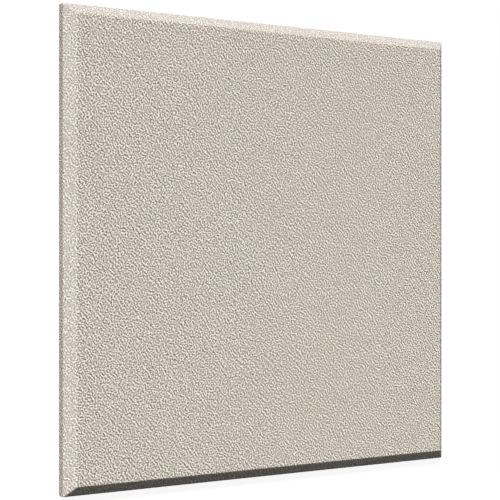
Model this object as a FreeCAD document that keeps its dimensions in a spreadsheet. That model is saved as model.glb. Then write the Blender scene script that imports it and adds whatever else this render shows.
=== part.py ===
import FreeCAD, Part
import Sketcher
import os

# Fabric acoustic wall panel: a board of rigid glass fibre with a bevelled front edge, wrapped in one
# piece of open woven fabric. It lies on its back, with its face up. X runs across the panel, Y runs up
# it as it hangs on a wall, and the origin is the middle of the back. Sizes are in millimetres.

doc = FreeCAD.newDocument("fabric_acoustic_wall_panel")

# The driving sizes

sizes = doc.addObject("Spreadsheet::Sheet", "Sizes")
DRIVING_SIZES = [
    ("panel_width", 609.6, "finished panel, side to side"),
    ("panel_height", 609.6, "finished panel, bottom to top as it hangs"),
    ("panel_thickness", 25.4, "finished panel, back to face"),
    ("fabric_thickness", 0.8, "the fabric, glued down and pulled tight"),
    ("bevel_leg", 12.7, "the board's 45 degree bevel, along the face and down the side"),
    ("board_arris", 0.4, "radius of the board's edges, which are cut crisp and hardened with resin"),
    ("fabric_return", 38.1, "the fabric on the back, from the panel's edge inwards"),
    ("mitre_gap", 0.5, "between the two trimmed edges of the fabric at a corner of the back"),
]
# What follows from them. The fabric runs parallel to the board, so its bevel is a little wider than
# the board's, and its edges are rounder by its own thickness.
DERIVED_SIZES = [
    ("board_width", "=panel_width - 2 * fabric_thickness", "the board inside the fabric"),
    ("board_height", "=panel_height - 2 * fabric_thickness", "the board inside the fabric"),
    ("board_thickness", "=panel_thickness - 2 * fabric_thickness", "the board inside the fabric"),
    ("fabric_bevel_leg", "=bevel_leg + fabric_thickness * (2 - sqrt(2))", "the bevel over the fabric"),
    ("fabric_arris", "=board_arris + fabric_thickness", "radius of the edges over the fabric"),
]
for row, (alias, content, meaning) in enumerate(DRIVING_SIZES + DERIVED_SIZES, start=1):
    sizes.set(f"A{row}", meaning)
    sizes.set(f"B{row}", str(content))
    sizes.setAlias(f"B{row}", alias)
doc.recompute()

NEAR = 1e-4  # two heights closer than this are the same height


# Helpers for bodies, sketches and edges


def new_body(label):
    body = doc.addObject("PartDesign::Body", label)
    body.Label = label
    return body


def origin_item(body, role):
    """The body's own origin plane with this role."""
    return next(item for item in body.Origin.OriginFeatures if item.Role == role)


def sketch_on_back(body, name):
    """A sketch on the plane of the body's back, where X is across the panel and Y is up it."""
    sketch = body.newObject("Sketcher::SketchObject", name)
    sketch.AttachmentSupport = [(origin_item(body, "XY_Plane"), "")]
    sketch.MapMode = "FlatFace"
    return sketch


def add_loop(sketch, corners):
    """Straight lines from corner to corner and back to the first. Returns their numbers."""
    lines = []
    for start, end in zip(corners, corners[1:] + corners[:1]):
        segment = Part.LineSegment(FreeCAD.Vector(*start, 0), FreeCAD.Vector(*end, 0))
        lines.append(sketch.addGeometry(segment, False))
    for line, following in zip(lines, lines[1:] + lines[:1]):
        sketch.addConstraint(Sketcher.Constraint("Coincident", line, 2, following, 1))
    return lines


def size_constraint(sketch, name, formula, kind, *places):
    """A named distance, tied to the sheet."""
    sketch.addConstraint(Sketcher.Constraint(kind, *places, 100.0))
    sketch.renameConstraint(sketch.ConstraintCount - 1, name)
    sketch.setExpression(f"Constraints.{name}", formula)


def add_centred_rectangle(sketch, width, height):
    """A rectangle about the sketch's origin. Its sides are numbered from the bottom, anticlockwise."""
    bottom, right, top, left = add_loop(sketch, [(-60, -50), (60, -50), (60, 50), (-60, 50)])
    for line in (bottom, top):
        sketch.addConstraint(Sketcher.Constraint("Horizontal", line))
    for line in (right, left):
        sketch.addConstraint(Sketcher.Constraint("Vertical", line))
    sketch.addConstraint(Sketcher.Constraint("Symmetric", bottom, 1, top, 1, -1, 1))
    size_constraint(sketch, "width", width, "DistanceX", bottom, 1, bottom, 2)
    size_constraint(sketch, "height", height, "DistanceY", right, 1, right, 2)


def level_edges(shape, height):
    """The names of the edges that lie level at this height."""
    return [
        f"Edge{number}"
        for number, edge in enumerate(shape.Edges, start=1)
        if all(abs(vertex.Z - height) < NEAR for vertex in edge.Vertexes)
    ]


def all_edges(shape):
    return [f"Edge{number}" for number in range(1, len(shape.Edges) + 1)]


def add_bevelled_slab(body, width, height, thickness, bevel, arris):
    """A slab with a bevel round its front edge and every edge rounded. Sizes are formulas."""
    outline = sketch_on_back(body, f"{body.Label}_outline")
    add_centred_rectangle(outline, width, height)
    slab = body.newObject("PartDesign::Pad", f"{body.Label}_slab")
    slab.Profile = outline
    slab.setExpression("Length", thickness)
    doc.recompute()

    front_bevel = body.newObject("PartDesign::Chamfer", f"{body.Label}_bevel")
    front_bevel.Base = (slab, level_edges(slab.Shape, slab.Length.Value))
    front_bevel.setExpression("Size", bevel)
    doc.recompute()

    soft_edges = body.newObject("PartDesign::Fillet", f"{body.Label}_edges")
    soft_edges.Base = (front_bevel, all_edges(front_bevel.Shape))
    soft_edges.setExpression("Radius", arris)
    doc.recompute()


# Board of rigid glass fibre, which stands off the wall by the fabric folded under it

core_board = new_body("core_board")
add_bevelled_slab(
    core_board,
    "Sizes.board_width",
    "Sizes.board_height",
    "Sizes.board_thickness",
    "Sizes.bevel_leg",
    "Sizes.board_arris",
)
core_board.setExpression("Placement.Base.z", "Sizes.fabric_thickness")

# The panel's outside, over the fabric

panel_outside = new_body("panel_outside")
add_bevelled_slab(
    panel_outside,
    "Sizes.panel_width",
    "Sizes.panel_height",
    "Sizes.panel_thickness",
    "Sizes.fabric_bevel_leg",
    "Sizes.fabric_arris",
)

# What the fabric leaves open on the back: a window onto the bare board, and from each of its corners
# a slit along the mitre, where the fabric of two sides is trimmed to meet

back_opening = new_body("back_opening")


def cut_through_fabric(outline, name):
    """A pad that reaches well past both faces of the fabric on the back."""
    pad = back_opening.newObject("PartDesign::Pad", name)
    pad.Profile = outline
    pad.Midplane = True
    pad.setExpression("Length", "4 * Sizes.fabric_thickness")
    doc.recompute()
    return pad


window_outline = sketch_on_back(back_opening, "window_outline")
add_centred_rectangle(
    window_outline,
    "Sizes.panel_width - 2 * Sizes.fabric_return",
    "Sizes.panel_height - 2 * Sizes.fabric_return",
)
cut_through_fabric(window_outline, "window")

# The slit is a strip along the 45 degree mitre, with level ends: one inside the window, the other just
# short of the fold round the panel's corner. Each end is fixed by its left point and its length.
slit_outline = sketch_on_back(back_opening, "slit_outline")
inner_end, _, outer_end, _ = add_loop(slit_outline, [(49, 50), (51, 50), (81, 80), (79, 80)])
for end_name, line, left_point, right_point, inset in (
    ("inner", inner_end, 1, 2, "(Sizes.fabric_return + Sizes.mitre_gap)"),
    ("outer", outer_end, 2, 1, "2 * Sizes.fabric_arris"),
):
    left = f"Sizes.panel_width / 2 - {inset} - Sizes.mitre_gap / sqrt(2)"
    level = f"Sizes.panel_height / 2 - {inset}"
    width = "Sizes.mitre_gap * sqrt(2)"
    slit_outline.addConstraint(Sketcher.Constraint("Horizontal", line))
    size_constraint(slit_outline, f"{end_name}_left", left, "DistanceX", -1, 1, line, left_point)
    size_constraint(slit_outline, f"{end_name}_level", level, "DistanceY", -1, 1, line, left_point)
    size_constraint(
        slit_outline, f"{end_name}_width", width, "DistanceX", line, left_point, line, right_point
    )
slit = cut_through_fabric(slit_outline, "slit")

four_slits = back_opening.newObject("PartDesign::MultiTransform", "four_slits")
mirrors = []
for mirror_name, role in (("left_and_right", "YZ_Plane"), ("top_and_bottom", "XZ_Plane")):
    mirror = back_opening.newObject("PartDesign::Mirrored", mirror_name)
    mirror.MirrorPlane = (origin_item(back_opening, role), [""])
    mirrors.append(mirror)
four_slits.Originals = [slit]
four_slits.Transformations = mirrors
back_opening.Tip = four_slits
doc.recompute()

# Fabric: the panel's outside less the board that it is glued to, opened on the back

closed_skin = doc.addObject("Part::Cut", "closed_skin")
closed_skin.Base = panel_outside
closed_skin.Tool = core_board
fabric_wrap = doc.addObject("Part::Cut", "fabric_wrap")
fabric_wrap.Label = "fabric_wrap"
fabric_wrap.Base = closed_skin
fabric_wrap.Tool = back_opening

# Check and write each piece

doc.recompute()
for item in doc.Objects:
    if {"Invalid", "Error"} & set(item.State):
        raise RuntimeError(f"{item.Label} is {item.State}")

os.makedirs("parts", exist_ok=True)
for piece in (core_board, fabric_wrap):
    shape = piece.Shape
    if shape.isNull() or not shape.isValid() or len(shape.Solids) != 1:
        raise RuntimeError(f"{piece.Label} isn't one sound solid")
    shape.exportStep(f"parts/{piece.Label}.step")
    print(f"{piece.Label}: {shape.Volume / 1000:.1f} cm3 in {len(shape.Faces)} faces")
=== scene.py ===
# %% [markdown]
# A fabric acoustic wall panel is a board of pressed glass fibre in a tight cover of nubby woven fabric.
# Both are already there as solids at their real size. This script dresses them: the cover gets a cloth
# surface of its own, and both pieces get a finish. Everything is in metres: X runs across the panel, Y
# runs up it as it hangs, and Z points out of its face. The panel lies on its back.

# %% Load the frame
import math

import bmesh
import bpy
import numpy as np
from mathutils import Matrix, Vector


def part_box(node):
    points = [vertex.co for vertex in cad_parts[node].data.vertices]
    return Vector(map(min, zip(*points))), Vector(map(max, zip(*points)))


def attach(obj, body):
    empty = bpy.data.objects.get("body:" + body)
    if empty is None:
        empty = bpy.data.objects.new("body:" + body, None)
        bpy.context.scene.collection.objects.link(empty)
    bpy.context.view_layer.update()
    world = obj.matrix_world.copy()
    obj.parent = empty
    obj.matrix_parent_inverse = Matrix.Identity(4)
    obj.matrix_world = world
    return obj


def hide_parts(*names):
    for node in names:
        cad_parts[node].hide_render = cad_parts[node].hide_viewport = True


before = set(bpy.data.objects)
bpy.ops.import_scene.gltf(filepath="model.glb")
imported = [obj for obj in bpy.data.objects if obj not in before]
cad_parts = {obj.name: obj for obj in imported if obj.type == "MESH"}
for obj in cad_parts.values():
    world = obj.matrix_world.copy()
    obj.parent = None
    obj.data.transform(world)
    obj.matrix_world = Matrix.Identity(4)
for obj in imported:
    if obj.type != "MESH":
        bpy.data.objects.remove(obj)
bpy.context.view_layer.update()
MM = 0.001
print("solids:", sorted(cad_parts))

# %% [markdown]
# The outside of the cover and the board inside it are both boxes that the frame can measure, so the
# panel's size and the fabric's thickness come from them. The bevel, the soft edges and the fold on the
# back don't show in a box, so they are written here as their maker would give them.

# %% Sizes of the panel
wrap_low, wrap_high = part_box("fabric_wrap")
_, board_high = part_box("core_board")
HALF_WIDTH = (wrap_high.x - wrap_low.x) / 2
HALF_HEIGHT = (wrap_high.y - wrap_low.y) / 2
THICKNESS = wrap_high.z - wrap_low.z
FABRIC = wrap_high.z - board_high.z
BOARD_BEVEL = 12.7 * MM  # at 45 degrees, along the face and down the side
BEVEL = BOARD_BEVEL + FABRIC * (2 - math.sqrt(2))  # the same over the fabric
BOARD_ARRIS = 0.4 * MM  # radius of the board's edges
ARRIS = BOARD_ARRIS + FABRIC  # the same over the fabric
RETURN = 38.1 * MM  # fabric turned onto the back
MITRE_GAP = 0.5 * MM  # between the trimmed edges at a corner of the back
print(f"panel {2 * HALF_WIDTH:.4f} x {2 * HALF_HEIGHT:.4f} x {THICKNESS:.4f}, fabric {FABRIC:.4f}")

# %% [markdown]
# The camera stands where the picture was taken. The panel's upright edges are upright in the picture
# and its level edges lean towards the picture's middle line, so the camera was level with the middle of
# the panel and turned about one axis only. Four numbers say where it is: the lens, the turn, the
# distance, and how far the panel's middle is off the line of sight. With the panel on its back, that
# same camera looks down on it, and the panel's own up is the picture's up.

# %% Camera
PICTURE_WIDTH = 500.0  # pixels
FOCAL_PIXELS = 1400.0  # the lens
SENSOR = 36.0  # millimetres
TURN = math.radians(32.94)
DISTANCE = 1.9007
OFF_LINE = 0.0187  # of the panel's middle, to the right of the line of sight

right = Vector((math.cos(TURN), 0, math.sin(TURN)))
up = Vector((0, 1, 0))
backward = right.cross(up)
camera_data = bpy.data.cameras.new("camera")
camera_data.sensor_width = SENSOR
camera_data.lens = SENSOR * FOCAL_PIXELS / PICTURE_WIDTH
camera = bpy.data.objects.new("camera", camera_data)
bpy.context.scene.collection.objects.link(camera)
facing = Matrix((right, up, backward)).transposed().to_4x4()
camera.matrix_world = Matrix.Translation(DISTANCE * backward - OFF_LINE * right) @ facing
bpy.context.scene.camera = camera
bpy.context.scene.view_settings.view_transform = "Standard"
print("camera at", [round(x, 3) for x in camera.matrix_world.translation])

# %% [markdown]
# A node tree is easier to read when each node is made, set and linked in one call. This helper takes a
# node's settings by name, and its inputs as plain values or as the sockets that feed them. The ones
# after it are short names for what is used most.

# %% Helpers for nodes


def add_node(tree, kind, inputs=None, **settings):
    """One new node. inputs maps a socket's name or number to a value or to the socket that feeds it."""
    made = tree.nodes.new(kind)
    for name, value in settings.items():
        setattr(made, name, value)
    for name, value in (inputs or {}).items():
        if isinstance(value, bpy.types.NodeSocket):
            tree.links.new(value, made.inputs[name])
        else:
            made.inputs[name].default_value = value
    return made


def math_node(tree, operation, *values):
    """The result of one sum on sockets or numbers."""
    return add_node(tree, "ShaderNodeMath", dict(enumerate(values)), operation=operation).outputs[0]


def vector_node(tree, operation, *values):
    """The result of one sum on vectors."""
    made = add_node(tree, "ShaderNodeVectorMath", dict(enumerate(values)), operation=operation)
    return made.outputs[0]


def empty_tree(owner):
    """The owner's node tree, with nothing in it."""
    owner.use_nodes = True
    owner.node_tree.nodes.clear()
    return owner.node_tree


def mix_shaders(tree, share, first, second):
    """The first shader where share is 0, and the second where it is 1."""
    inputs = {0: share, 1: first.outputs[0], 2: second.outputs[0]}
    return add_node(tree, "ShaderNodeMixShader", inputs)


def seen_directly(tree):
    """1 for rays from the camera, from a reflection or through glass, and 0 for light that bounces."""
    path = add_node(tree, "ShaderNodeLightPath").outputs
    either = math_node(tree, "MAXIMUM", path["Is Camera Ray"], path["Is Glossy Ray"])
    return math_node(tree, "MAXIMUM", either, path["Is Transmission Ray"])


# %% [markdown]
# The light is one large white key from the panel's upper left and a weak even fill. The key stands low
# enough to only graze the lower bevel, which is in shade in the picture, while the upper bevel takes it
# full on. What the camera sees behind the panel is white, but that white mustn't light the panel: a
# switch on the kind of ray gives the camera one strength and the bouncing light another.

# %% World and lamp
KEY_FROM = Vector((-0.59, 0.93, 1.0))
KEY_POWER = 4.22
KEY_SPREAD = math.radians(12)
FILL_POWER = 0.045
BEHIND_POWER = 1.0  # plain white to the camera
WHITE = (1, 1, 1, 1)

world = bpy.data.worlds.new("studio")
tree = empty_tree(world)
fill = add_node(tree, "ShaderNodeBackground", {"Color": WHITE, "Strength": FILL_POWER})
behind = add_node(tree, "ShaderNodeBackground", {"Color": WHITE, "Strength": BEHIND_POWER})
shown = mix_shaders(tree, seen_directly(tree), fill, behind)
add_node(tree, "ShaderNodeOutputWorld", {"Surface": shown.outputs[0]})
bpy.context.scene.world = world

lamp = bpy.data.lights.new("key", "SUN")
lamp.energy = KEY_POWER
lamp.angle = KEY_SPREAD
key = bpy.data.objects.new("key", lamp)
bpy.context.scene.collection.objects.link(key)
key.rotation_mode = "QUATERNION"
key.rotation_quaternion = KEY_FROM.to_track_quat("Z", "Y")
print("key light comes from", [round(x, 2) for x in KEY_FROM.normalized()])

# %% [markdown]
# The floor is white to the camera and keeps a faint shadow, because most of its white is its own and
# only a small share is lit. To light that bounces it is a dark grey: enough to show the weave on the
# shaded sides, and not so much that it brightens the shaded bevel from below. From underneath it is
# clear, so that the panel's back can be looked at.

# %% Floor
FLOOR_DROP = 0.2 * MM  # keeps the floor clear of the cloth that lies on it
FLOOR_HALF = 40.0
OWN_WHITE = 0.92  # seen directly, without light on it
LIT_WHITE = 0.10  # seen directly, the share that takes light and shadow
BOUNCE_GREY = 0.10  # to light that bounces
SQUARE = [(-1, -1), (1, -1), (1, 1), (-1, 1)]  # signs of the corners, counter-clockwise

floor_mesh = bpy.data.meshes.new("floor")
floor_corners = [(x * FLOOR_HALF, y * FLOOR_HALF, -FLOOR_DROP) for x, y in SQUARE]
floor_mesh.from_pydata(floor_corners, [], [(0, 1, 2, 3)])
floor = bpy.data.objects.new("floor", floor_mesh)
bpy.context.scene.collection.objects.link(floor)


def grey(value):
    """An even grey, as a colour."""
    return (value, value, value, 1)


floor_finish = bpy.data.materials.new("floor_white")
tree = empty_tree(floor_finish)
own = add_node(tree, "ShaderNodeEmission", {"Color": WHITE, "Strength": OWN_WHITE})
lit = add_node(tree, "ShaderNodeBsdfDiffuse", {"Color": grey(LIT_WHITE)})
shown = add_node(tree, "ShaderNodeAddShader", {0: own.outputs[0], 1: lit.outputs[0]})
bounce = add_node(tree, "ShaderNodeBsdfDiffuse", {"Color": grey(BOUNCE_GREY)})
from_above = mix_shaders(tree, seen_directly(tree), bounce, shown)
clear = add_node(tree, "ShaderNodeBsdfTransparent")
below = add_node(tree, "ShaderNodeNewGeometry").outputs["Backfacing"]
either_side = mix_shaders(tree, below, from_above, clear)
add_node(tree, "ShaderNodeOutputMaterial", {"Surface": either_side.outputs[0]})
floor_mesh.materials.append(floor_finish)
print("floor", 2 * FLOOR_HALF, "m square")

# %% [markdown]
# The cover is one piece of cloth. Laid flat it is the face with four flaps, whose ends are cut to a
# mitre. Each flap runs from the face over the bevel, down the side and under onto the back. All four
# have the same section, so the section is drawn once, as straight runs with round turns between them.
# It could be a bevel modifier on a box, but then nothing would say where a point lies on the flat
# cloth, which the weave needs. In the section the first number is the distance inward from the panel's
# outer edge, and the second is the height above the wall.

# %% Section of the cover
EIGHTH_TURN = math.radians(45)
ROUND_STEPS = 3  # on an arc of an eighth turn
STEP = 2.6 * MM  # on straight runs, and across the panel
BACK_STEP = 6 * MM  # on the back
FACE_EDGE = BEVEL + 4 * MM  # the section starts on the flat of the face, a little inside the bevel


def straight_run(start, end, step):
    """Points from start to end in equal steps, without the start."""
    count = max(1, math.ceil(np.linalg.norm(end - start) / step))
    return list(start + (end - start) * np.linspace(0, 1, count + 1)[1:, None])


def rounded_section(corners, radius, steps):
    """Points along straight runs whose corners are arcs of one radius, and how far along each lies.
    A corner that turns by an angle starts its arc radius * tan(angle / 2) before the corner. steps
    gives the length of a step on each run."""
    corners = np.array(corners, float)
    points = [corners[0]]
    for before, corner, after, step in zip(corners, corners[1:], corners[2:], steps):
        come = (corner - before) / np.linalg.norm(corner - before)
        go = (after - corner) / np.linalg.norm(after - corner)
        turn = math.acos(come @ go)
        bend = (go - (come @ go) * come) / math.sin(turn)
        angles = np.linspace(0, turn, 1 + round(ROUND_STEPS * turn / EIGHTH_TURN))[:, None]
        start = corner - radius * math.tan(turn / 2) * come
        arc = start + radius * (np.sin(angles) * come + (1 - np.cos(angles)) * bend)
        points += straight_run(points[-1], arc[0], step) + list(arc[1:])
    points += straight_run(points[-1], corners[-1], steps[-1])
    points = np.array(points)
    along = np.concatenate([[0], np.cumsum(np.linalg.norm(np.diff(points, axis=0), axis=1))])
    return points, along


section, along = rounded_section(
    [(FACE_EDGE, THICKNESS), (BEVEL, THICKNESS), (0, THICKNESS - BEVEL), (0, 0), (RETURN, 0)],
    ARRIS,
    [STEP, STEP, STEP, BACK_STEP],
)
FLAP = along[-1]
NEAR = 0.01 * MM  # closer than this is the same place
on_back = section[:, 0] > ARRIS + NEAR
on_back &= section[:, 1] < NEAR
flat_half = np.array([HALF_WIDTH, HALF_HEIGHT]) - FACE_EDGE + FLAP
print(f"section of {len(section)} points, {FLAP / MM:.1f} mm long")

# %% [markdown]
# Across the panel the cloth is cut into columns: a few close ones beside each corner, where the cloth
# goes round it, and even ones between. The face and the flaps have the same columns, so their edges
# meet point for point.

# %% Columns
CORNER_COLUMNS = ARRIS * np.array([0, 0.25, 0.55, 1.0, 2.0, 3.5, 5.5])  # inwards from a corner
MIDDLE_COLUMNS = 2 * round((HALF_WIDTH - FACE_EDGE - CORNER_COLUMNS[-1]) / STEP)


def columns(half):
    """Places from -half to half, close together by both ends. Each value of half gets a row of them."""
    half = np.atleast_1d(half)[:, None]
    near_end = half - CORNER_COLUMNS
    middle = (half - CORNER_COLUMNS[-1]) * np.linspace(-1, 1, MIDDLE_COLUMNS + 1)[1:-1]
    return np.concatenate([-near_end, middle, near_end[:, ::-1]], axis=1)


print(columns(HALF_WIDTH - FACE_EDGE).size, "columns")

# %% [markdown]
# Cloth is never quite even: its trimmed edge wanders, and its face swells. Both come from a sum of waves
# with random directions and lengths. It is smooth and never repeats, and its seed makes it the same each
# time. A smooth step lets such an unevenness set in and die out.

# %% Waves
WAVE_COUNT = 60
SEED = 24


def smooth_step(x, low, high):
    """0 below low, 1 above high, and a smooth climb between."""
    part = np.clip((x - low) / (high - low), 0, 1)
    return part * part * (3 - 2 * part)


def wave_field(points, lengths, seed):
    """Sum of cosines of (wave vector . place + phase), scaled to a spread of one. Their directions are
    even in space, and their lengths lie between the two given."""
    random = np.random.default_rng(seed)
    directions = random.normal(size=(WAVE_COUNT, 3))
    directions /= np.linalg.norm(directions, axis=1, keepdims=True)
    vectors = directions * 2 * math.pi / random.uniform(*lengths, size=(WAVE_COUNT, 1))
    phases = random.uniform(0, 2 * math.pi, WAVE_COUNT)
    return np.cos(points @ vectors.T + phases).sum(-1) * math.sqrt(2 / WAVE_COUNT)


print(WAVE_COUNT, "waves to a sum, from seed", SEED)

# %% [markdown]
# A flap is the section carried along one edge of the face. Close to a corner its points are moved onto
# an arc, which rounds the panel's corner. On the back the flaps stop short of each other by the mitre
# gap, and the last edge wanders a little, as an edge that is trimmed by hand does. Each flap is worked
# out as the one towards -Y, with a wander of its own, and is turned to its side later.

# %% Face and flaps
CORNER_BLEND = (1 * MM, 6 * MM)  # along the section, where the corner's rounding sets in
HEM_WANDER = 0.35 * MM
HEM_WAVES = (25 * MM, 90 * MM)
HEM_BLEND = 12 * MM  # from the hem inwards, over which its wander dies out


def round_corner(x, y, half_x, half_y, radius):
    """Points of a rectangle's outline, moved onto an arc near its corners: a point's offset from the
    rectangle that is smaller by the radius all round is given the length of the radius."""
    inside_x = np.clip(x, radius - half_x, half_x - radius)
    inside_y = np.clip(y, radius - half_y, half_y - radius)
    share = radius / np.maximum(np.hypot(x - inside_x, y - inside_y), NEAR * radius)
    return inside_x + (x - inside_x) * share, inside_y + (y - inside_y) * share


def flap(half_along, half_across, seed):
    """The flap towards -Y: rows go down the section and columns across it. Returns its places, and
    where they lie on the flat cloth, whose middle is the middle of the face."""
    inward, height = section[:, :1], section[:, 1:]
    gap = np.where(on_back, MITRE_GAP / math.sqrt(2), 0)
    x = columns(half_along - section[:, 0] - gap)
    hem = np.stack([x[-1], 0 * x[-1], 0 * x[-1]], -1)
    near_hem = smooth_step(along, FLAP - HEM_BLEND, FLAP)[:, None]
    trim = HEM_WANDER * wave_field(hem, HEM_WAVES, seed) * near_hem
    y = inward + trim - half_across
    rounding = np.where(on_back, 0, smooth_step(along, *CORNER_BLEND))[:, None]
    radius = np.maximum(ARRIS * rounding, NEAR)
    turned_x, turned_y = round_corner(x, y, half_along - inward, half_across - inward, radius)
    places = np.stack([turned_x, turned_y, np.broadcast_to(height, x.shape)], -1)
    flat_y = FACE_EDGE - half_across - along[:, None] - trim
    return places, np.stack([x, flat_y], -1)


face_columns = columns(HALF_WIDTH - FACE_EDGE)[0]
face_rows = columns(HALF_HEIGHT - FACE_EDGE)[0][::-1]
face_x, face_y = np.meshgrid(face_columns, face_rows)
face = (np.stack([face_x, face_y, np.full(face_x.shape, THICKNESS)], -1), np.stack([face_x, face_y], -1))
sides = [(HALF_WIDTH, HALF_HEIGHT), (HALF_HEIGHT, HALF_WIDTH)] * 2  # half length, way to the middle
flaps = [flap(*halves, SEED + number) for number, halves in enumerate(sides)]
print("face", face_x.shape, "flap", flaps[0][0].shape[:2])

# %% [markdown]
# Cloth has thickness, and it shows where the cloth is cut: along the last edge of each flap and up its
# two mitres. Each cut is a strip as high as the cloth is thick. On the flat cloth it lies just outside
# the edge.

# %% Cut edges
SLANT = math.sqrt(0.5)  # a step of one outward from a mitre, along each axis


def cut_edges(places, flat):
    """Three strips that stand on the flap's cut edges: its left mitre, its last edge and its right
    mitre. A strip's second row is one thickness above its first."""
    start = np.flatnonzero(on_back)[0] - 1
    edges = [
        (places[start:, 0], flat[start:, 0], (-SLANT, -SLANT)),
        (places[-1], flat[-1], (0, -1)),
        (places[start:, -1][::-1], flat[start:, -1][::-1], (SLANT, -SLANT)),
    ]
    lift = np.array([0, 0, FABRIC])
    return [
        (np.stack([line, line + lift]), np.stack([on_cloth, on_cloth + FABRIC * np.array(outward)]))
        for line, on_cloth, outward in edges
    ]


strips = [cut_edges(*patch) for patch in flaps]
print("cut edges:", sum(len(three) for three in strips), "strips")

# %% [markdown]
# The flaps and their cut edges are turned to their four sides, and all the patches become one mesh. Each
# corner of a quad keeps its own place on the flat cloth, so the weave runs on over every edge of the
# face and turns only at the mitres, as cut cloth does.

# %% Outside of the cloth
CLOTH_MAP = "cloth"


def quarter_turns(grid, turns):
    """A grid of points turned about Z by so many right angles."""
    cos, sin = ((1, 0), (0, 1), (-1, 0), (0, -1))[turns]
    turned = grid.copy()
    turned[..., 0] = cos * grid[..., 0] - sin * grid[..., 1]
    turned[..., 1] = sin * grid[..., 0] + cos * grid[..., 1]
    return turned


def turn_patch(patch, turns):
    """A patch's places and its places on the flat cloth, turned together."""
    return tuple(quarter_turns(grid, turns) for grid in patch)


def patch_quads(shape, first):
    """Quads of a grid of points that are numbered row by row from first."""
    number = first + np.arange(shape[0] * shape[1]).reshape(shape)
    corners = [number[:-1, :-1], number[1:, :-1], number[1:, 1:], number[:-1, 1:]]
    return np.stack(corners, -1).reshape(-1, 4)


def mesh_from_patches(name, patches):
    """One mesh from grids of places, each with its grid of places on the flat cloth. Rows run down
    and columns to the right, seen from outside."""
    starts = np.cumsum([0] + [places[..., 0].size for places, _ in patches])
    quads = np.concatenate([patch_quads(p[0].shape[:2], first) for p, first in zip(patches, starts)])
    points = np.concatenate([places.reshape(-1, 3) for places, _ in patches])
    flat = np.concatenate([on_cloth.reshape(-1, 2) for _, on_cloth in patches])
    mesh = bpy.data.meshes.new(name)
    mesh.from_pydata(points.tolist(), [], quads.tolist())
    cloth_map = mesh.uv_layers.new(name=CLOTH_MAP)
    cloth_map.uv.foreach_set("vector", flat[quads.ravel()].astype("f4").ravel())
    return mesh


def merge_points(mesh):
    """Joins points that are in the same place."""
    work = bmesh.new()
    work.from_mesh(mesh)
    bmesh.ops.remove_doubles(work, verts=work.verts, dist=NEAR)
    work.to_mesh(mesh)
    work.free()


patches = [face]
for turns, (patch, three) in enumerate(zip(flaps, strips)):
    patches += [turn_patch(each, turns) for each in [patch, *three]]
cloth_mesh = mesh_from_patches("fabric_cover", patches)
merge_points(cloth_mesh)
print("outside of the cloth:", len(cloth_mesh.vertices), "points,", len(cloth_mesh.polygons), "quads")

# %% [markdown]
# The nubs of the weave are under 4 mm apart, some thirty thousand of them, so their own shape is left
# to the finish. What the mesh can carry is the swell where a few thick nubs lie together. It is a sum
# of waves in space. A wave in space has no seam, so the swell runs on round every edge.

# %% Swell of the cloth
SWELL = 0.06 * MM
SWELL_WAVES = (6 * MM, 11 * MM)
SWELL_FROM = (1.5 * MM, 5 * MM)  # heights between which it sets in: the back is flat on the wall


def read_vectors(items, name):
    """One vector of each item, as an array."""
    vectors = np.empty((len(items), 3), "f4")
    items.foreach_get(name, vectors.ravel())
    return vectors.astype(float)


points = read_vectors(cloth_mesh.vertices, "co")
normals = read_vectors(cloth_mesh.vertex_normals, "vector")
swell = SWELL * wave_field(points, SWELL_WAVES, SEED) * smooth_step(points[:, 2], *SWELL_FROM)
cloth_mesh.vertices.foreach_set("co", (points + normals * swell[:, None]).astype("f4").ravel())
print(f"swell from {swell.min() / MM:.2f} to {swell.max() / MM:.2f} mm")

# %% [markdown]
# Over the bevels the cloth is pulled round two edges close together, which draws its nubs flatter. In
# the picture the bevels that are lit are paler and smoother than the face, and the finish paints a
# highlight onto every bevel as a little paler and cooler colour. Each point of the mesh gets a mark from
# 0 to 1 that says how much of it is on a bevel, so that the finish can follow. By height alone, a bevel
# lies between the top of a side and the face.

# %% Mark of the bevels
BEVEL_MARK = "bevel"
FOOT_BLEND = 0.8 * MM  # below the bevel, over which the mark sets in
HEAD_BLEND = (0.8 * MM, 0.2 * MM)  # below the face, between which it dies out

bevel_foot = smooth_step(points[:, 2], THICKNESS - BEVEL - FOOT_BLEND, THICKNESS - BEVEL)
bevel_head = smooth_step(points[:, 2], THICKNESS - HEAD_BLEND[0], THICKNESS - HEAD_BLEND[1])
bevel_marks = (bevel_foot * (1 - bevel_head)).astype("f4")
cloth_mesh.attributes.new(BEVEL_MARK, "FLOAT", "POINT").data.foreach_set("value", bevel_marks)
print(f"on a bevel: {(bevel_marks > 0.5).mean():.0%} of the points")

# %% [markdown]
# The inside of the cloth is glued to the board and nobody sees it, so it is a few large faces that
# close the mesh. A Solidify modifier would make it too, with as many triangles again as the outside.
# On the flat cloth the inside is laid out small, as squares inside each other, in one of the corners
# that the mitres leave free.

# %% Helpers for the inside
LINING_TOP = 12 * MM  # half the inside's face, as laid out
LINING_SHRINK = 0.12  # the rest, as laid out
lining_corner = (np.array([HALF_WIDTH, HALF_HEIGHT]) + flat_half) / 2  # where it is laid out
lining_section = np.array(
    [
        (FABRIC + BOARD_BEVEL, THICKNESS - FABRIC),
        (FABRIC, THICKNESS - FABRIC - BOARD_BEVEL),
        (FABRIC, FABRIC),
    ]
)
lining_along = np.concatenate([[0], np.cumsum(np.linalg.norm(np.diff(lining_section, axis=0), axis=1))])


def lay_out(places, distances):
    """Where points of the inside lie on the flat cloth: in their own direction from the middle of a
    square, further out by how far they are from the inside's face along the cloth."""
    directions = places[:, :2] / np.abs(places[:, :2]).max(1, keepdims=True)
    return lining_corner + directions * (LINING_TOP + LINING_SHRINK * distances[:, None])


def add_inside_face(work, places, distances):
    """One face with these corners, and their places on the flat cloth."""
    made = work.faces.new([work.verts.new(place) for place in places])
    cloth_layer = work.loops.layers.uv[CLOTH_MAP]
    for loop, flat in zip(made.loops, lay_out(places, distances)):
        loop[cloth_layer].uv = flat


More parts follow.
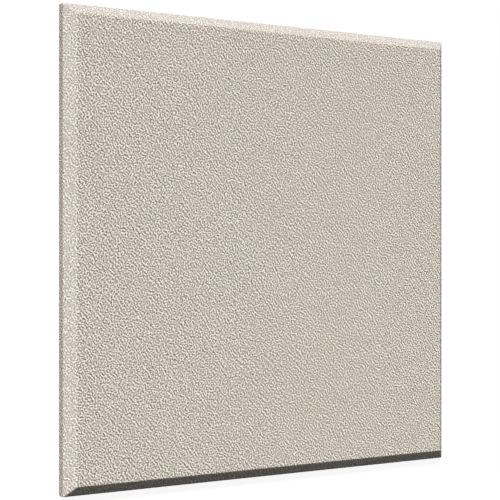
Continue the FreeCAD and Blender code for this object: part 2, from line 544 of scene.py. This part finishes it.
def lining_ring(level):
    """The four corners of the inside at one point of its section."""
    inset, height = lining_section[level]
    return np.array([(x * (HALF_WIDTH - inset), y * (HALF_HEIGHT - inset), height) for x, y in SQUARE])


rings = [lining_ring(level) for level in range(len(lining_section))]
print("inside of the cloth:", len(rings), "rings of four corners")

# %% [markdown]
# The inside has one face on top, four on its bevels and four on its sides, each between two rings. On
# the back its last ring is joined to the upper edges of the cut strips, one face to a side, and with
# that the mesh is closed. Its volume tells whether the cloth is as thick as it should be.

# %% Inside of the cloth
CM3 = 1e-6  # cubic metres

work = bmesh.new()
work.from_mesh(cloth_mesh)
add_inside_face(work, rings[0][::-1], np.zeros(4))
for turns, three in enumerate(strips):
    corner, following = turns, (turns + 1) % 4
    for level in range(len(rings) - 1):
        quad = [rings[level][corner], rings[level][following]]
        quad += [rings[level + 1][following], rings[level + 1][corner]]
        add_inside_face(work, np.array(quad), lining_along[[level, level, level + 1, level + 1]])
    left, last, right_strip = (quarter_turns(places, turns)[1] for places, _ in three)
    rim = np.concatenate([left, last[1:], right_strip[1:]])
    outline = np.concatenate([rings[-1][[corner]], rings[-1][[following]], rim[::-1]])
    out_to = np.abs(outline[:, :2]).max(1)
    add_inside_face(work, outline, lining_along[-1] + out_to.max() - out_to)
bmesh.ops.remove_doubles(work, verts=work.verts, dist=NEAR)
open_edges = sum(not edge.is_manifold for edge in work.edges)
cloth_volume = work.calc_volume(signed=True)
work.to_mesh(cloth_mesh)
work.free()
print(f"open edges: {open_edges}, cloth {cloth_volume / CM3:.0f} cm3")

# %% [markdown]
# A second map of the same layout, shrunk to fit a square picture, is where the finish is painted when
# the model is exported. Laid flat, the cloth fills nearly all of that picture and nothing overlaps, so
# every part of its outside gets the same fine detail.

# %% Map for painting
BAKE_MAP = "OFBake"
BAKE_MARGIN = 0.004
PICTURE_MIDDLE = 0.5

cloth_places = np.empty((len(cloth_mesh.loops), 2), "f4")
cloth_mesh.uv_layers[CLOTH_MAP].uv.foreach_get("vector", cloth_places.ravel())
picture_places = PICTURE_MIDDLE + cloth_places / (2 * (flat_half + FABRIC)) * (1 - 2 * BAKE_MARGIN)
cloth_mesh.uv_layers.new(name=BAKE_MAP).uv.foreach_set("vector", picture_places.astype("f4").ravel())
print("painting map from", picture_places.min(0).round(3), "to", picture_places.max(0).round(3))

# %% [markdown]
# The cover takes the place of the plain solid and rides on the panel's one body.

# %% The cover
CREASE = math.radians(50)  # a sharper turn than this is a crease, as at a cut edge

cover = bpy.data.objects.new("fabric_cover", cloth_mesh)
bpy.context.scene.collection.objects.link(cover)
cloth_mesh.polygons.foreach_set("use_smooth", np.ones(len(cloth_mesh.polygons), bool))
cloth_mesh.set_sharp_from_angle(angle=CREASE)

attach(cover, "root")
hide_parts("fabric_wrap")

# %% [markdown]
# Patterns that more than one finish uses are node groups. A group is a small tree with named sockets,
# made once and placed in each finish with values of its own.

# %% Helpers for groups
GROUP_SOCKETS = {"place": "NodeSocketVector", "number": "NodeSocketFloat"}


def new_group(name, inputs, outputs):
    """An empty node group, its tree's input sockets and its output node. inputs and outputs map a
    socket's name to its kind."""
    group = bpy.data.node_groups.new(name, "ShaderNodeTree")
    for names, way in ((inputs, "INPUT"), (outputs, "OUTPUT")):
        for socket, kind in names.items():
            group.interface.new_socket(socket, in_out=way, socket_type=GROUP_SOCKETS[kind])
    return group, add_node(group, "NodeGroupInput").outputs, add_node(group, "NodeGroupOutput").inputs


def place_group(tree, group, inputs):
    """The outputs of one copy of the group in this tree."""
    return add_node(tree, "ShaderNodeGroup", inputs, node_tree=group).outputs


def scale_vector(tree, vector, factor):
    """The vector times a number."""
    inputs = {0: vector, "Scale": factor}
    return add_node(tree, "ShaderNodeVectorMath", inputs, operation="SCALE").outputs[0]


def noise(tree, place, scale, detail=1.0):
    """Noise of spread about a third, centred on zero. Its outputs are one number and a vector."""
    inputs = {"Vector": place, "Scale": scale, "Detail": detail}
    made = add_node(tree, "ShaderNodeTexNoise", inputs, normalize=False)
    return made.outputs["Fac"], made.outputs["Color"]


def wandering(tree, place, patch, reach):
    """The place, led astray smoothly over patches of this size: place + reach * noise."""
    _, astray = noise(tree, place, 1 / patch)
    return vector_node(tree, "ADD", place, scale_vector(tree, astray, reach))


# %% [markdown]
# Mottle is slow unevenness: thicker and thinner places in a cloth, or paler and darker clouds in the
# board. It is plain noise, given by the size of its patches.

# %% Mottle
MOTTLE_DETAIL = 2.0  # finer layers of noise on top of the first

mottle, given, result = new_group(
    "mottle", {"Place": "place", "Patch Size": "number"}, {"Mottle": "number"}
)
patches_per_metre = math_node(mottle, "DIVIDE", 1.0, given["Patch Size"])
unevenness, _ = noise(mottle, given["Place"], patches_per_metre, MOTTLE_DETAIL)
mottle.links.new(unevenness, result["Mottle"])
print("mottle:", len(mottle.nodes), "nodes")

# %% [markdown]
# The nubs are what the eye sees first: short thick places in the yarn, with pits between them. In the
# picture they lie in uneven rows that lean to the left, most of them steep and some nearly level. Gabor
# noise is made for this. It is a scatter of short wave packets, so it has one pitch, and one direction
# as far as it is told to. One field has no direction and breaks the rows up into dots. The other two
# have a direction each, and are drawn out up the cloth, because a weave repeats itself from row to row.
# Every field starts at a place of its own, far from the noise's origin, where it has a star. Their sum
# has a spread of about one.

# %% Nubs
GABOR_CELL = 1.3  # pitches to a cell of the noise, and as many waves
GABOR_SPREAD = 0.17  # of one field
DOTS_FINER = 1.07  # dots to one pitch
DOTS_SHARE = 0.85
ROWS_DRAWN_OUT = 1.7
ROWS = [  # waves to a pitch across and up the cloth, and the share of the field
    (0.72, 0.50, 0.42),
    (0.40, 0.98, 0.28),
]
FIRST_START = (371.3, 533.7, 0)  # in pitches
NEXT_START = (111.3, 77.9, 0)


def gabor(tree, place, cells, waves, directed, direction):
    """Gabor noise from -1 to 1, with this many cells to a unit of place and waves to a cell."""
    inputs = {"Vector": place, "Scale": cells, "Frequency": waves}
    inputs |= {"Anisotropy": directed, "Orientation": direction}
    from_0_to_1 = add_node(tree, "ShaderNodeTexGabor", inputs, gabor_type="2D").outputs["Value"]
    return math_node(tree, "MULTIPLY_ADD", from_0_to_1, 2.0, -1.0)


nubs, given, result = new_group("nubs", {"Place": "place", "Pitch": "number"}, {"Nubs": "number"})
in_pitches = scale_vector(nubs, given["Place"], math_node(nubs, "DIVIDE", 1.0, given["Pitch"]))
start = vector_node(nubs, "ADD", in_pitches, FIRST_START)
dots = gabor(nubs, start, DOTS_FINER / GABOR_CELL, GABOR_CELL, directed=0.0, direction=0.0)
total = math_node(nubs, "MULTIPLY", dots, DOTS_SHARE / GABOR_SPREAD)
for across, upward, share in ROWS:
    start = vector_node(nubs, "ADD", start, NEXT_START)
    drawn_out = vector_node(nubs, "MULTIPLY", start, (1.0, 1 / ROWS_DRAWN_OUT, 1.0))
    upward *= ROWS_DRAWN_OUT  # makes up for the drawing out, which spreads the waves
    waves = GABOR_CELL * math.hypot(across, upward)
    direction = math.atan2(upward, across)
    rows = gabor(nubs, drawn_out, 1 / GABOR_CELL, waves, directed=1.0, direction=direction)
    total = math_node(nubs, "MULTIPLY_ADD", rows, share / GABOR_SPREAD, total)
nubs.links.new(total, result["Nubs"])
print("nubs:", len(nubs.nodes), "nodes")

# %% [markdown]
# Under the nubs the cloth is a plain weave of threads just under a millimetre apart. With p and q the
# sines of the place across the warp and across the weft, each a half wave to a thread, p times q says
# which thread is on top at a crossing. The height is the larger of (|p| + pq) / 2 for the warp and
# (|q| - pq) / 2 for the weft: 1 on top of a crossing and 0 in the hole between four threads. A little
# noise lets the threads wander. The group also gives the way to the middle of the crossing that a point
# lies on. What is read there is the same all over that crossing, as one bit of yarn is. Its last number
# is a random one for each crossing, from -0.5 to 0.5, because no two bits of yarn are quite alike.

# %% Threads
THREAD_WANDER = 0.35  # of a thread
WANDER_PATCH = 9.0  # threads
CROSSING_MIDDLE = (0.5, 0.5, 0.0)
IN_CLOTH = (1.0, 1.0, 0.0)  # leaves out what points out of the cloth
AVERAGE_CHANCE = 0.5  # of the random number, which comes from 0 to 1

threads, given, result = new_group(
    "threads",
    {"Place": "place", "Thread Pitch": "number"},
    {"Height": "number", "To Crossing": "place", "Chance": "number"},
)
threads_per_metre = math_node(threads, "DIVIDE", 1.0, given["Thread Pitch"])
counted = scale_vector(threads, given["Place"], threads_per_metre)
counted = wandering(threads, counted, WANDER_PATCH, THREAD_WANDER)
axes = add_node(threads, "ShaderNodeSeparateXYZ", {"Vector": counted}).outputs
p, q = (math_node(threads, "SINE", math_node(threads, "MULTIPLY", axis, math.pi)) for axis in axes[:2])
crossing = math_node(threads, "MULTIPLY", p, q)
warp = math_node(threads, "ADD", math_node(threads, "ABSOLUTE", p), crossing)
weft = math_node(threads, "SUBTRACT", math_node(threads, "ABSOLUTE", q), crossing)
top_thread = math_node(threads, "MAXIMUM", warp, weft)
threads.links.new(math_node(threads, "DIVIDE", top_thread, 2.0), result["Height"])

cell = vector_node(threads, "FLOOR", counted)
middle = vector_node(threads, "ADD", cell, CROSSING_MIDDLE)
to_middle = vector_node(threads, "SUBTRACT", middle, counted)
to_middle = vector_node(threads, "MULTIPLY", to_middle, IN_CLOTH)
to_middle = scale_vector(threads, to_middle, given["Thread Pitch"])
threads.links.new(to_middle, result["To Crossing"])

drawn = add_node(threads, "ShaderNodeTexWhiteNoise", {"Vector": cell}, noise_dimensions="2D")
chance = math_node(threads, "SUBTRACT", drawn.outputs["Value"], AVERAGE_CHANCE)
threads.links.new(chance, result["Chance"])
print("threads:", len(threads.nodes), "nodes")

# %% [markdown]
# Both pieces are fibre when looked at closely: long glass hairs in the board, and fuzz on the yarn. A
# hair is a thin crest of noise that is stretched along one direction. Three directions, bent by a slow
# noise, make a felt.

# %% Fibres
HAIR_DIRECTIONS = (0.35, 1.45, 2.5)  # radians
HAIR_SLENDER = 14.0  # length to width
HAIR_SHARP = 5.2  # how fast a crest falls off
HAIR_BEND = 0.5  # of a hair's length
BEND_PATCH = 2.0  # hair lengths

fibres, given, result = new_group(
    "fibres", {"Place": "place", "Hair Length": "number"}, {"Fibres": "number"}
)
in_hairs = scale_vector(fibres, given["Place"], math_node(fibres, "DIVIDE", 1.0, given["Hair Length"]))
bent = wandering(fibres, in_hairs, BEND_PATCH, HAIR_BEND)
felt = 0.0
for angle in HAIR_DIRECTIONS:
    turned = add_node(
        fibres, "ShaderNodeVectorRotate", {"Vector": bent, "Angle": angle}, rotation_type="Z_AXIS"
    ).outputs[0]
    drawn_out = vector_node(fibres, "MULTIPLY", turned, (1.0, HAIR_SLENDER, HAIR_SLENDER))
    crest, _ = noise(fibres, drawn_out, 1.0)
    hair = math_node(fibres, "MULTIPLY_ADD", math_node(fibres, "ABSOLUTE", crest), -HAIR_SHARP, 1.0)
    felt = math_node(fibres, "MAXIMUM", hair, felt)
fibres.links.new(felt, result["Fibres"])
print("fibres:", len(fibres.nodes), "nodes")

# %% [markdown]
# Both finishes are put together from the same few steps: sums of shares, a ramp that turns a tone into
# a colour, a mix of two colours, and at the end a surface with an even gloss, whose bump is given as a
# height in metres.

# %% Helpers for finishes
MIX_FIRST, MIX_SECOND = 6, 7  # a Mix node's inputs for colours
MIX_RESULT = 2  # and its output for them


def colour_ramp(tree, tone, stops):
    """The colour at this tone, from 0 to 1, between stops of a place and a colour."""
    made = add_node(tree, "ShaderNodeValToRGB", {"Fac": tone})
    elements = made.color_ramp.elements
    while len(elements) < len(stops):
        elements.new(1.0)  # its own place is set below
    for element, (position, colour) in zip(elements, stops):
        element.position = position
        element.color = (*colour, 1)
    return made.outputs["Color"]


def add_share(tree, value, share, rest):
    """rest + value * share."""
    return math_node(tree, "MULTIPLY_ADD", value, share, rest)


def blend_numbers(tree, share, low, high):
    """low where share is 0, and high where it is 1."""
    inputs = {"Value": share, "To Min": low, "To Max": high}
    return add_node(tree, "ShaderNodeMapRange", inputs).outputs["Result"]


def mix_colours(tree, share, first, second, way="MIX"):
    """The first colour where share is 0. Where it is 1, the second, or their product."""
    inputs = {"Factor": share, MIX_FIRST: first, MIX_SECOND: second}
    made = add_node(tree, "ShaderNodeMix", inputs, data_type="RGBA", blend_type=way)
    return made.outputs[MIX_RESULT]


def add_surface(tree, colour, roughness, gloss, height):
    """The surface of a finish, whose bump is this height in metres."""
    bump = add_node(tree, "ShaderNodeBump", {"Height": height, "Distance": 1.0, "Strength": 1.0})
    inputs = {"Base Color": colour, "Roughness": roughness}
    inputs |= {"Specular IOR Level": gloss, "Normal": bump.outputs["Normal"]}
    surface = add_node(tree, "ShaderNodeBsdfPrincipled", inputs)
    add_node(tree, "ShaderNodeOutputMaterial", {"Surface": surface.outputs[0]})


# %% [markdown]
# The fabric's colour follows its height, and much of it is painted shade and painted highlight: down in
# the pits the yarn is painted taupe, for the shade that falls there, on the slopes beige, and on top of
# a nub cream, for the light that catches it. A colour ramp says so, and it also gives the yarn's own
# tones. The same height bends the light through a bump, and the threads add their own share to both,
# with painted shade in the holes between them. The nubs are read most of the way to the middle of each
# thread crossing, which makes them stepped, as thick places in woven yarn are, and not smooth waves.
# Each crossing is a little paler or darker by chance, and the nubs stand out more in some clumps than in
# others. On a bevel, by the mark on the mesh, they are flatter, and the colour is painted a little paler
# and cooler, as a painted highlight. Worn tops are smoother than pits. A share called a tone is a part
# of the ramp, from 0 for its darkest colour to 1 for its palest.

# %% Fabric finish
NUB_PITCH = 3.6 * MM
NUB_PAINTED_SHADING = 0.29  # painted shade in the pits and painted highlight on the tops, for a height of one spread
NUB_HEIGHT = 0.045 * MM  # for the same
CLUMP_SIZE = 7 * MM
CLUMP_SHARE = 1.2  # how much further the nubs in one stand out
CLUMP_TONE = 0.06
THREAD_PITCH = 0.85 * MM
# painted shade in the holes between threads and painted highlight on their tops
THREAD_PAINTED_SHADING = 0.25
THREAD_HEIGHT = 0.10 * MM
THREAD_MIDDLE = 0.5  # height that leaves the tone as it is
CROSSING_SHARE = 0.85  # of the way to the middle of a crossing
CHANCE_TONE = 0.24  # between the darkest bit of yarn and the palest
FUZZ_LENGTH = 2.2 * MM
FUZZ_TONE = 0.05
SHADE_SIZE = 120 * MM  # slow shading over the whole cloth
SHADE_TONE = 0.012
MIDDLE_TONE = 0.56  # of yarn at the middle height
# from the taupe of painted shade in the pits, through the yarn's own beige, to the cream of painted
# highlight on the tops
YARN_AND_PAINTED_SHADE_COLOURS = [
    (0.0, (0.200, 0.166, 0.131)),
    (0.25, (0.330, 0.281, 0.231)),
    (0.5, (0.470, 0.398, 0.331)),
    (0.78, (0.865, 0.785, 0.695)),
    (1.0, (1.000, 0.960, 0.885)),
]
YARN_ROUGHNESS = (0.95, 0.80)  # pits and tops
YARN_GLOSS = 0.1
BEVEL_FLATTER = 0.58  # how much of the nubs the pull over a bevel takes away
BEVEL_PAINTED_HIGHLIGHT = (0.995, 1.03, 1.08, 1)  # painted highlight: every bevel a little paler and cooler, as light makes the lit ones look


def fabric_finish():
    """The nubby woven fabric, on the place that each point has on the flat cloth."""
    material = bpy.data.materials.new("nubby_fabric")
    tree = empty_tree(material)
    place = add_node(tree, "ShaderNodeUVMap", uv_map=CLOTH_MAP).outputs["UV"]
    clumps = place_group(tree, mottle, {"Place": place, "Patch Size": CLUMP_SIZE})["Mottle"]
    shade = place_group(tree, mottle, {"Place": place, "Patch Size": SHADE_SIZE})["Mottle"]
    woven = place_group(tree, threads, {"Place": place, "Thread Pitch": THREAD_PITCH})
    to_crossing = scale_vector(tree, woven["To Crossing"], CROSSING_SHARE)
    nub_place = vector_node(tree, "ADD", place, to_crossing)
    nub = place_group(tree, nubs, {"Place": nub_place, "Pitch": NUB_PITCH})["Nubs"]
    nub = math_node(tree, "MULTIPLY", nub, add_share(tree, clumps, CLUMP_SHARE, 1.0))
    bevel = add_node(tree, "ShaderNodeAttribute", attribute_name=BEVEL_MARK).outputs["Fac"]
    nub = math_node(tree, "MULTIPLY", nub, add_share(tree, bevel, -BEVEL_FLATTER, 1.0))
    thread = math_node(tree, "SUBTRACT", woven["Height"], THREAD_MIDDLE)
    fuzz = place_group(tree, fibres, {"Place": place, "Hair Length": FUZZ_LENGTH})["Fibres"]

    # painted shade in the pits and painted highlight on the tops, from the height of nubs and threads
    tone = add_share(tree, nub, NUB_PAINTED_SHADING, MIDDLE_TONE)
    tone = add_share(tree, thread, THREAD_PAINTED_SHADING, tone)
    tone = add_share(tree, woven["Chance"], CHANCE_TONE, tone)
    tone = add_share(tree, fuzz, FUZZ_TONE, tone)
    tone = add_share(tree, clumps, CLUMP_TONE, tone)
    tone = add_share(tree, shade, SHADE_TONE, tone)
    height = math_node(tree, "MULTIPLY", nub, NUB_HEIGHT)
    height = add_share(tree, thread, THREAD_HEIGHT, height)
    colour = colour_ramp(tree, tone, YARN_AND_PAINTED_SHADE_COLOURS)
    # painted highlight: the colour on every bevel made a little paler and cooler
    colour = mix_colours(tree, bevel, colour, BEVEL_PAINTED_HIGHLIGHT, "MULTIPLY")
    add_surface(tree, colour, blend_numbers(tree, tone, *YARN_ROUGHNESS), YARN_GLOSS, height)
    return material


cloth_mesh.materials.append(fabric_finish())
print(f"fabric finish: nubs {NUB_PITCH / MM:.2f} mm apart and threads {THREAD_PITCH / MM:.2f} mm apart")

# %% [markdown]
# The board shows only from behind, through the window in the cover. It is yellow glass wool pressed
# hard: a felt of fine hairs in the colour of its resin, cloudy where there is more or less of it, with
# a few dark specks of cured resin. For the specks, the board is divided into cells. One cell in five
# has a speck, and the further its random number is past that chance, the larger the speck. The board's
# solid is right as it is, so it keeps its mesh and gets a finish on object coordinates.

# %% Board finish
HAIR_LENGTH = 9 * MM
CLOUD_SIZE = 45 * MM
TUFT_SIZE = 6 * MM
SPECK_CELL = 5 * MM  # room for one speck
SPECK_CHANCE = 0.2  # of a cell to have one
SPECK_REACH = 0.28  # radius of the largest, in cells
SPECK_RAGGED = (1.2 * MM, 1.0 * MM)  # how its outline wanders: patch and reach
WOOL_HEIGHT = 0.25 * MM
WOOL_TONE = 0.33
HAIR_TONE = 0.35
CLOUD_TONE = 0.15
TUFT_TONE = 0.25
WOOL_COLOURS = [
    (0.0, (0.40, 0.29, 0.09)),
    (0.45, (0.70, 0.57, 0.26)),
    (0.8, (0.84, 0.74, 0.44)),
    (1.0, (0.93, 0.87, 0.66)),
]
WOOL_ROUGHNESS = (0.9, 0.6)  # ground and hairs
WOOL_GLOSS = 0.3
SPECK_COLOUR = (0.16, 0.09, 0.03, 1)


def board_finish():
    """Pressed glass wool, on object coordinates."""
    material = bpy.data.materials.new("pressed_glass_wool")
    tree = empty_tree(material)
    place = add_node(tree, "ShaderNodeTexCoord").outputs["Object"]
    hairs = place_group(tree, fibres, {"Place": place, "Hair Length": HAIR_LENGTH})["Fibres"]
    clouds = place_group(tree, mottle, {"Place": place, "Patch Size": CLOUD_SIZE})["Mottle"]
    tufts = place_group(tree, mottle, {"Place": place, "Patch Size": TUFT_SIZE})["Mottle"]
    tone = add_share(tree, hairs, HAIR_TONE, WOOL_TONE)
    tone = add_share(tree, clouds, CLOUD_TONE, tone)
    tone = add_share(tree, tufts, TUFT_TONE, tone)
    ragged = wandering(tree, place, *SPECK_RAGGED)
    cells = add_node(tree, "ShaderNodeTexVoronoi", {"Vector": ragged, "Scale": 1 / SPECK_CELL}).outputs
    luck = add_node(tree, "ShaderNodeSeparateColor", {"Color": cells["Color"]}).outputs["Red"]
    lucky = {"Value": luck, "From Min": 1 - SPECK_CHANCE, "To Max": SPECK_REACH}
    reach = add_node(tree, "ShaderNodeMapRange", lucky).outputs["Result"]
    speck = math_node(tree, "LESS_THAN", cells["Distance"], reach)
    colour = mix_colours(tree, speck, colour_ramp(tree, tone, WOOL_COLOURS), SPECK_COLOUR)
    height = math_node(tree, "MULTIPLY", math_node(tree, "ADD", hairs, tufts), WOOL_HEIGHT)
    add_surface(tree, colour, blend_numbers(tree, hairs, *WOOL_ROUGHNESS), WOOL_GLOSS, height)
    return material


board = bpy.data.objects["core_board"]
finish = board_finish()
for slot in board.material_slots:
    slot.material = finish
print("board finish on", board.name, "in", len(board.material_slots), "slot")
